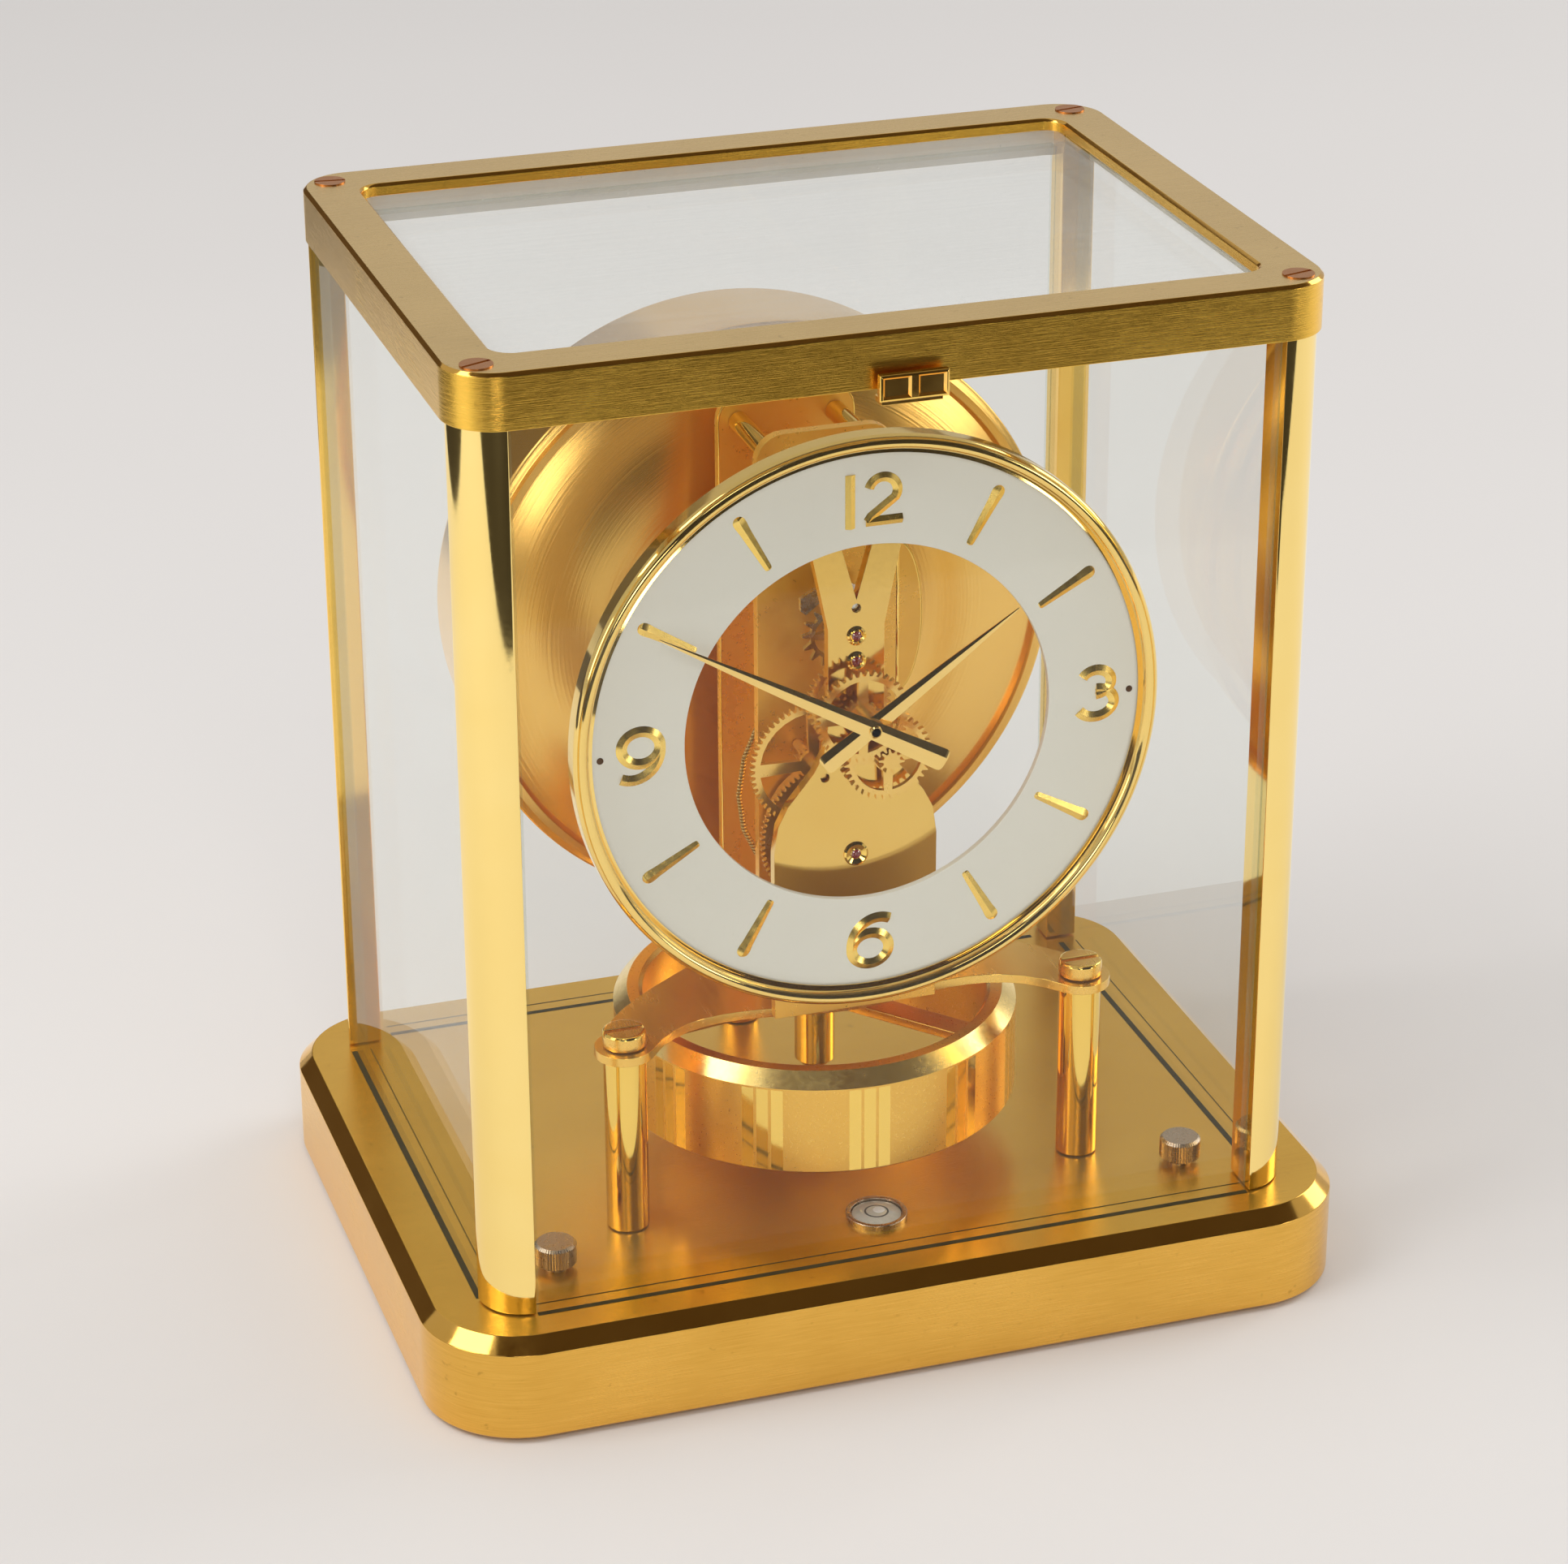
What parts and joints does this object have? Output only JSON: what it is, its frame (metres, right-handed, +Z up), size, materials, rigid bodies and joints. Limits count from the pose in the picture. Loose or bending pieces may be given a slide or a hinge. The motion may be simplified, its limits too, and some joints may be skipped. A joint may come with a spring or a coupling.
{
  "type": "mantel clock",
  "caption": "Glass-cased brass mantel clock with an open ring dial, visible gear train, torsion balance and bellows drum on a low plinth with levelling feet.",
  "frame": {"origin": "on the table under the middle of the plinth", "axes": "+X to the right of the dial, +Y to the back, +Z up; the dial faces -Y"},
  "size_m": [0.2, 0.1524, 0.225],
  "materials": {
    "brushed_brass": "brushed",
    "polished_brass": "polished",
    "satin_gilt": "satin",
    "gilt": "gilded",
    "steel": "satin",
    "clear_glass": "polished",
    "dial_white": "satin"
  },
  "bodies": {
    "case": {"plinth": "brushed_brass", "top_frame": "brushed_brass", "corner_pillar_back_left": "polished_brass", "corner_pillar_back_right": "polished_brass", "corner_pillar_front_left": "polished_brass", "corner_pillar_front_right": "polished_brass", "front_plate": "polished_brass", "bezel": "polished_brass", "drum_cover": "satin_gilt", "drum_can": "satin_gilt", "rear_foot": "steel", "level_cup": "steel", "torsion_wire": "steel", "glass_back": "clear_glass", "glass_left": "clear_glass", "glass_right": "clear_glass", "glass_top": "clear_glass", "level_glass": "clear_glass", "dial_ring": "dial_white", "bridge_plate": "gilt", "bridge_pillar_left": "gilt", "bridge_pillar_right": "gilt", "bridge_pillar_rear": "gilt", "bridge_screw_left": "gilt", "bridge_screw_right": "gilt", "suspension_block": "gilt", "drum_hub": "gilt", "back_plate": "gilt", "rear_frame": "gilt", "plate_pillar_low_left": "gilt", "plate_pillar_low_right": "gilt", "plate_pillar_high_left": "gilt", "plate_pillar_high_right": "gilt", "frame_stud_low_left": "gilt", "frame_stud_low_right": "gilt", "frame_stud_high_left": "gilt", "frame_stud_high_right": "gilt", "dial_post_low_left": "gilt", "dial_post_low_right": "gilt", "dial_post_high_left": "gilt", "dial_post_high_right": "gilt", "bellows": "gilt", "winding_chain": "gilt"},
    "front_pane": {"glass_front": "clear_glass", "glass_pull": "gilt"},
    "foot_left": {"levelling_foot_left": "steel"},
    "foot_right": {"levelling_foot_right": "steel"},
    "screw_left": {"levelling_screw_left": "steel"},
    "screw_right": {"levelling_screw_right": "steel"},
    "balance_wheel": {"balance": "satin_gilt"},
    "centre": {"centre_wheel": "gilt", "minute_hand": "polished_brass"},
    "hour": {"hour_wheel": "gilt", "hour_hand": "polished_brass"},
    "minute": {"minute_wheel": "gilt"},
    "second": {"second_wheel": "gilt"},
    "spring_barrel": {"barrel": "gilt"},
    "escape": {"escape_wheel": "steel"},
    "pallets": {"pallet_lever": "steel"}
  },
  "joints": [
    {"name": "balance_swing", "type": "hinge", "parent": "case", "child": "balance_wheel", "pos_m": [0, -0.0094, 0.05], "axis": [0, 0, 1], "range_deg": [-270, 270], "stiffness_Nm_per_rad": 0.0000054},
    {"name": "minute_turn", "type": "hinge", "parent": "case", "child": "centre", "pos_m": [0, 0, 0.1342], "axis": [0, 1, 0], "continuous": true},
    {"name": "hour_turn", "type": "hinge", "parent": "case", "child": "hour", "pos_m": [0, 0, 0.1342], "axis": [0, 1, 0], "continuous": true},
    {"name": "minute_wheel_turn", "type": "hinge", "parent": "case", "child": "minute", "pos_m": [0.006, 0, 0.12381], "axis": [0, 1, 0], "continuous": true},
    {"name": "second_wheel_turn", "type": "hinge", "parent": "case", "child": "second", "pos_m": [-0.00664, 0, 0.11982], "axis": [0, 1, 0], "continuous": true},
    {"name": "barrel_turn", "type": "hinge", "parent": "case", "child": "spring_barrel", "pos_m": [0, 0, 0.1018], "axis": [0, 1, 0], "continuous": true},
    {"name": "escape_turn", "type": "hinge", "parent": "case", "child": "escape", "pos_m": [0, 0, 0.1451], "axis": [0, 1, 0], "continuous": true},
    {"name": "pallet_rock", "type": "hinge", "parent": "case", "child": "pallets", "pos_m": [0, 0, 0.1563], "axis": [0, 1, 0], "range_deg": [-4, 4]},
    {"name": "foot_left_travel", "type": "slide", "parent": "case", "child": "foot_left", "axis": [0, 0, 1], "range_m": [-0.001, 0.001]},
    {"name": "foot_right_travel", "type": "slide", "parent": "case", "child": "foot_right", "axis": [0, 0, 1], "range_m": [-0.001, 0.001]},
    {"name": "screw_left_turn", "type": "hinge", "parent": "foot_left", "child": "screw_left", "pos_m": [-0.0694, -0.049, 0], "axis": [0, 0, 1], "range_deg": [-241, 241]},
    {"name": "screw_right_turn", "type": "hinge", "parent": "foot_right", "child": "screw_right", "pos_m": [0.0694, -0.049, 0], "axis": [0, 0, 1], "range_deg": [-241, 241]},
    {"name": "front_pane_lift", "type": "slide", "parent": "case", "child": "front_pane", "axis": [0, 0, 1], "range_m": [0, 0.0015]}
  ],
  "couplings": [
    {"joint": "hour_turn", "follows": "minute_turn", "ratio": 0.083333},
    {"joint": "minute_wheel_turn", "follows": "minute_turn", "ratio": -0.33333},
    {"joint": "second_wheel_turn", "follows": "minute_turn", "ratio": -0.2},
    {"joint": "barrel_turn", "follows": "minute_turn", "ratio": 0.028571},
    {"joint": "escape_turn", "follows": "minute_turn", "ratio": -4},
    {"joint": "screw_left_turn", "follows": "foot_left_travel", "rad_per_m": 4188.8},
    {"joint": "screw_right_turn", "follows": "foot_right_travel", "rad_per_m": 4188.8}
  ]
}
